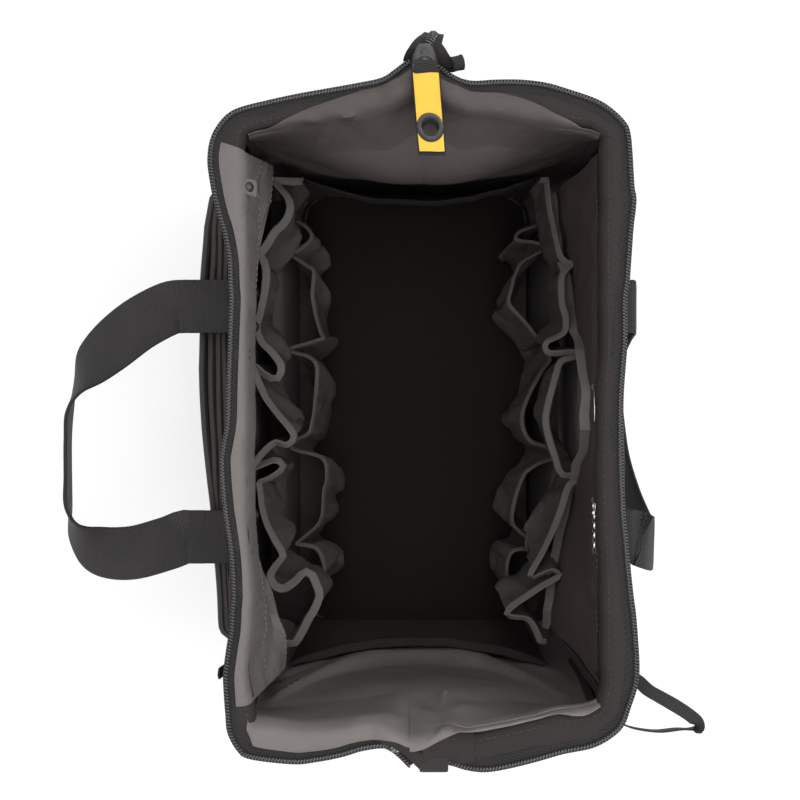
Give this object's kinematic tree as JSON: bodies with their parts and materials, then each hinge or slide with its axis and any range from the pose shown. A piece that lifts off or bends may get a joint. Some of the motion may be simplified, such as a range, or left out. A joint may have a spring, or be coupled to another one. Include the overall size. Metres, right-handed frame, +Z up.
{
  "type": "wide-mouth tool bag",
  "caption": "Soft tool bag held open by a two-part wire mouth frame, with coil zip, gathered inner pockets, slip pockets and webbing handles.",
  "frame": {"origin": "middle of the flat base, on the surface the bag stands on", "axes": "+Z up, +Y to the end where the zip's slider is parked, +X to the side of the zipped inner pocket"},
  "size_m": [0.463, 0.4513, 0.3053],
  "materials": {
    "black_cloth": "heavy woven cloth, matt",
    "zip_tape": "fine ribbed tape",
    "dark_cloth": "woven cloth, matt",
    "grey_lining": "thin coated cloth, creased",
    "base_board": "stiff board",
    "zip_coil": "moulded coil, slight shine",
    "black_webbing": "ribbed webbing",
    "yellow_label": "plain woven label",
    "frame_steel": "plain steel wire",
    "black_metal": "black lacquer, worn edges",
    "silver_metal": "bright plated"
  },
  "bodies": {
    "bag": {"base_panel": "black_cloth", "back_end_panel": "black_cloth", "front_end_panel": "black_cloth", "left_side_panel": "black_cloth", "right_side_panel": "black_cloth", "left_outer_pocket": "black_cloth", "right_outer_pocket": "black_cloth", "back_hem_bridge": "black_cloth", "front_hem_bridge": "black_cloth", "zip_tail": "zip_tape", "floor_lining": "dark_cloth", "back_end_pocket": "dark_cloth", "front_end_pocket": "dark_cloth", "left_lower_pockets": "dark_cloth", "right_lower_pockets": "dark_cloth", "zip_pocket_panel": "dark_cloth", "zip_pocket_strip": "dark_cloth", "back_lining": "grey_lining", "front_lining": "grey_lining", "left_lining": "grey_lining", "right_lining": "grey_lining", "left_upper_pockets": "grey_lining", "right_upper_pockets": "grey_lining", "base_board": "base_board", "fine_zip_coil": "zip_coil", "left_back_anchor": "black_webbing", "left_front_anchor": "black_webbing", "right_back_anchor": "black_webbing", "right_front_anchor": "black_webbing", "thin_loop": "black_webbing", "hang_loop": "black_webbing", "front_zip_tab": "black_webbing", "back_hinge_link": "frame_steel", "front_hinge_link": "frame_steel", "main_slider": "black_metal", "left_back_rivet_a": "black_metal", "left_back_rivet_b": "black_metal", "left_front_rivet_a": "black_metal", "left_front_rivet_b": "black_metal", "right_back_rivet_a": "black_metal", "right_back_rivet_b": "black_metal", "right_front_rivet_a": "black_metal", "right_front_rivet_b": "black_metal"},
    "left_frame": {"left_frame_rod": "frame_steel", "left_hem": "black_cloth", "left_zip_tape": "zip_tape", "left_zip_coil": "zip_coil"},
    "right_frame": {"right_frame_rod": "frame_steel", "right_hem": "black_cloth", "right_zip_tape": "zip_tape", "right_zip_coil": "zip_coil"},
    "left_grip": {"left_handle": "black_webbing"},
    "right_grip": {"right_handle": "black_webbing"},
    "main_pull": {"pull_strap": "black_webbing", "pull_label": "yellow_label", "pull_eyelet": "black_metal"},
    "first_slider": {"first_pocket_slider": "black_metal"},
    "second_slider": {"second_pocket_slider": "black_metal"},
    "first_pull": {"first_pocket_pull": "silver_metal"},
    "second_pull": {"second_pocket_pull": "silver_metal"}
  },
  "joints": [
    {"name": "left_frame_hinge", "type": "hinge", "parent": "bag", "child": "left_frame", "pos_m": [-0.018, 0, 0.2865], "axis": [0, 1, 0], "range_deg": [0, 95]},
    {"name": "right_frame_hinge", "type": "hinge", "parent": "bag", "child": "right_frame", "pos_m": [0.018, 0, 0.2865], "axis": [0, -1, 0], "range_deg": [0, 95]},
    {"name": "left_handle_swing", "type": "hinge", "parent": "bag", "child": "left_grip", "pos_m": [-0.1609, -0.008, 0.2141], "axis": [0, 1, 0], "range_deg": [0, 95]},
    {"name": "right_handle_swing", "type": "hinge", "parent": "bag", "child": "right_grip", "pos_m": [0.1479, -0.008, 0.2141], "axis": [0, -1, 0], "range_deg": [0, 150]},
    {"name": "main_pull_swing", "type": "hinge", "parent": "bag", "child": "main_pull", "pos_m": [0, 0.21094, 0.3031], "axis": [-1, 0, 0], "range_deg": [0, 150]},
    {"name": "first_slider_run", "type": "slide", "parent": "bag", "child": "first_slider", "axis": [0, 1, 0], "range_m": [0, 0.125]},
    {"name": "second_slider_run", "type": "slide", "parent": "bag", "child": "second_slider", "axis": [0, 1, 0], "range_m": [-0.1, 0]},
    {"name": "first_pull_swing", "type": "hinge", "parent": "first_slider", "child": "first_pull", "pos_m": [0.11242, 0.016, 0.262], "axis": [0, 0, -1], "range_deg": [0, 170]},
    {"name": "second_pull_swing", "type": "hinge", "parent": "second_slider", "child": "second_pull", "pos_m": [0.11242, -0.058, 0.262], "axis": [0, 0, -1], "range_deg": [0, 170]}
  ]
}
